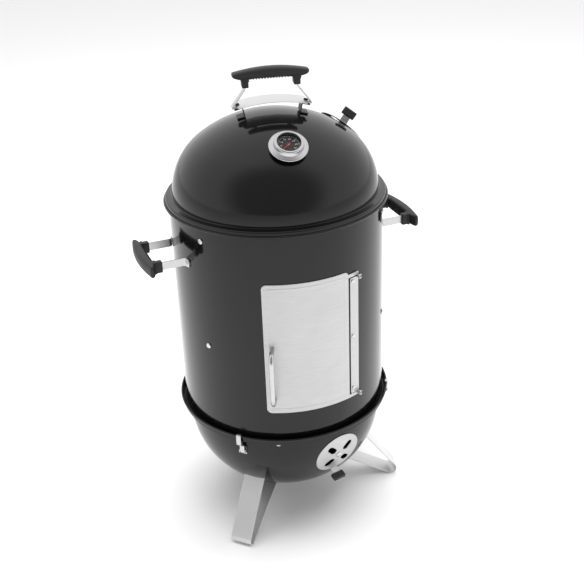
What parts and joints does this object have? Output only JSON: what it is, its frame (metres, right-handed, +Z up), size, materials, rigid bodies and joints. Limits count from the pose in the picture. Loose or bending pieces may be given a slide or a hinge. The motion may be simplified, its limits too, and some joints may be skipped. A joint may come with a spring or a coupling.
{
  "type": "vertical water smoker",
  "caption": "Vertical water smoker: domed lid with vent and thermometer, enamelled barrel with side door and handles, charcoal bowl on bent strip legs",
  "frame": {"origin": "on the ground under the middle of the whole object's box, 10 mm behind the barrel's axis", "axes": "+Z up along the barrel's axis, -Y out of the door side, +X to the right when facing the door; side handles level with the barrel's axis"},
  "size_m": [0.59, 0.4772, 0.9655],
  "materials": {
    "enamel": "deep gloss black porcelain enamel",
    "inner_steel": "plated steel, satin",
    "stainless": "brushed stainless steel",
    "chrome": "polished chrome plate",
    "grip_plastic": "matt black heat-proof plastic",
    "black_steel": "satin black paint",
    "dial": "black printed dial",
    "needle": "red paint",
    "lens": "clear lens"
  },
  "bodies": {
    "base": {"bowl_shell": "enamel", "leg_left": "stainless", "leg_right": "stainless", "leg_rear": "stainless", "leg_bolt_left": "stainless", "leg_bolt_right": "stainless", "leg_bolt_rear": "stainless", "bowl_vent_rivet": "stainless", "charcoal_bracket_1": "inner_steel", "charcoal_bracket_2": "inner_steel", "charcoal_bracket_3": "inner_steel", "latch_base_1": "stainless", "latch_base_2": "stainless", "latch_base_3": "stainless"},
    "bowl_vent": {"bowl_vent_disc": "stainless", "bowl_vent_grip": "grip_plastic"},
    "latch_1": {"latch_hook_1": "stainless"},
    "latch_2": {"latch_hook_2": "stainless"},
    "latch_3": {"latch_hook_3": "stainless"},
    "charcoal_grate": {"charcoal_grate": "inner_steel"},
    "charcoal_ring": {"charcoal_ring": "inner_steel"},
    "barrel": {"barrel_shell": "enamel", "door_hinge_strip": "stainless", "hinge_screw_1": "stainless", "hinge_screw_2": "stainless", "hinge_screw_3": "stainless", "door_hinge_pin_lower": "stainless", "door_hinge_pin_upper": "stainless", "grate_bracket_1": "inner_steel", "grate_bracket_2": "inner_steel", "grate_bracket_3": "inner_steel", "bracket_screw_lower_1": "stainless", "bracket_screw_upper_1": "stainless", "bracket_screw_lower_2": "stainless", "bracket_screw_upper_2": "stainless", "bracket_screw_lower_3": "stainless", "bracket_screw_upper_3": "stainless", "side_handle_strap_left": "stainless", "side_handle_grip_left": "grip_plastic", "side_handle_strap_right": "stainless", "side_handle_grip_right": "grip_plastic"},
    "door": {"door_panel": "stainless", "door_handle": "chrome"},
    "upper_grate": {"upper_grate": "chrome"},
    "lower_grate": {"lower_grate": "chrome"},
    "water_bowl": {"water_bowl": "enamel"},
    "lid": {"lid_shell": "enamel", "lid_vent_rivet": "stainless", "lid_handle_strap": "stainless", "lid_handle_grip": "grip_plastic", "heat_shield": "stainless", "lid_handle_foot_left": "black_steel", "lid_handle_foot_right": "black_steel", "thermometer_case": "chrome", "thermometer_dial": "dial", "thermometer_lens": "lens", "thermometer_nut": "stainless"},
    "lid_vent": {"lid_vent_disc": "stainless", "lid_vent_grip": "grip_plastic"},
    "needle": {"thermometer_needle": "needle"}
  },
  "joints": [
    {"name": "bowl_vent_turn", "type": "hinge", "parent": "base", "child": "bowl_vent", "pos_m": [0.04357, -0.20653, 0.18246], "axis": [0.2064, -0.9311, -0.3007], "range_deg": [0, 45]},
    {"name": "latch_1_swing", "type": "hinge", "parent": "base", "child": "latch_1", "pos_m": [-0.15129, -0.15972, 0.219], "axis": [0.7034, -0.7108, 0], "range_deg": [0, 70]},
    {"name": "latch_2_swing", "type": "hinge", "parent": "base", "child": "latch_2", "pos_m": [0.19211, -0.10164, 0.219], "axis": [0.4305, 0.9026, 0], "range_deg": [0, 70]},
    {"name": "latch_3_swing", "type": "hinge", "parent": "base", "child": "latch_3", "pos_m": [-0.03513, 0.19992, 0.219], "axis": [-0.9863, -0.165, 0], "range_deg": [0, 70]},
    {"name": "charcoal_grate_lift", "type": "slide", "parent": "base", "child": "charcoal_grate", "axis": [0, 0, 1], "range_m": [0, 0.01]},
    {"name": "charcoal_ring_lift", "type": "slide", "parent": "charcoal_grate", "child": "charcoal_ring", "axis": [0, 0, 1], "range_m": [0, 0.012]},
    {"name": "barrel_lift", "type": "slide", "parent": "base", "child": "barrel", "axis": [0, 0, 1], "range_m": [0, 0.15]},
    {"name": "door_swing", "type": "hinge", "parent": "barrel", "child": "door", "pos_m": [0.09042, -0.21309, 0.4655], "axis": [0, 0, 1], "range_deg": [0, 170]},
    {"name": "water_bowl_lift", "type": "slide", "parent": "barrel", "child": "water_bowl", "axis": [0, 0, 1], "range_m": [0, 0.1]},
    {"name": "lower_grate_lift", "type": "slide", "parent": "water_bowl", "child": "lower_grate", "axis": [0, 0, 1], "range_m": [0, 0.08]},
    {"name": "upper_grate_lift", "type": "slide", "parent": "barrel", "child": "upper_grate", "axis": [0, 0, 1], "range_m": [0, 0.02]},
    {"name": "lid_lift", "type": "slide", "parent": "barrel", "child": "lid", "axis": [0, 0, 1], "range_m": [0, 0.15]},
    {"name": "lid_vent_turn", "type": "hinge", "parent": "lid", "child": "lid_vent", "pos_m": [0.16938, 0.03538, 0.80815], "axis": [0.729, 0.1953, 0.6561], "range_deg": [0, 45]},
    {"name": "needle_turn", "type": "hinge", "parent": "lid", "child": "needle", "pos_m": [-0.01865, -0.1427, 0.85239], "axis": [0.07, 0.4981, -0.8643], "range_deg": [0, 256]}
  ]
}
